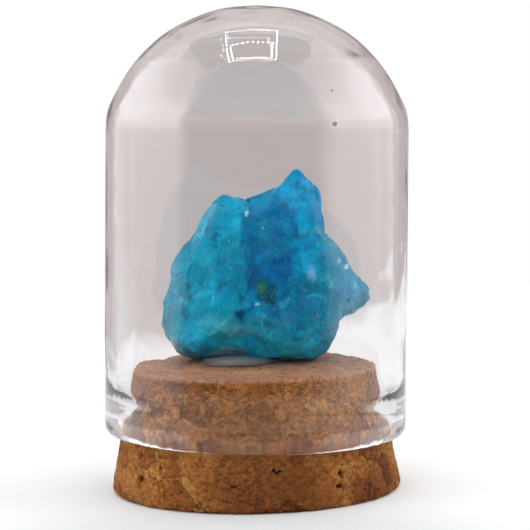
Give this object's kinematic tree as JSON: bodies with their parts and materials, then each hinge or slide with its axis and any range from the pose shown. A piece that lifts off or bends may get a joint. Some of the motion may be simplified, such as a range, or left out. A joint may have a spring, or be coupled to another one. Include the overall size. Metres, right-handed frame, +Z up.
{
  "type": "rough blue opal in a glass dome",
  "caption": "Rough blue opal glued upright on a tapered cork plug, under a small clear glass dome that sits on the plug and lifts off.",
  "frame": {"origin": "centre of the cork plug's flat underside", "axes": "+Z up through the plug towards the crown of the dome; -Y is the side that the specimen faces; +X is the side of the stone with the spur"},
  "size_m": [0.0381, 0.037, 0.0592],
  "materials": {
    "opal": "broken common opal, waxy to glassy, slightly see-through at thin edges",
    "cork": "pressed cork granules with dark seams and small pits, sanded, unsealed",
    "dome_glass": "clear blown glass, fire-polished rim",
    "glue": "set off-white glue, satin"
  },
  "bodies": {
    "root": {"blue_opal": "opal", "cork_base": "cork", "glass_dome": "dome_glass", "glue_pad": "glue"}
  },
  "joints": []
}
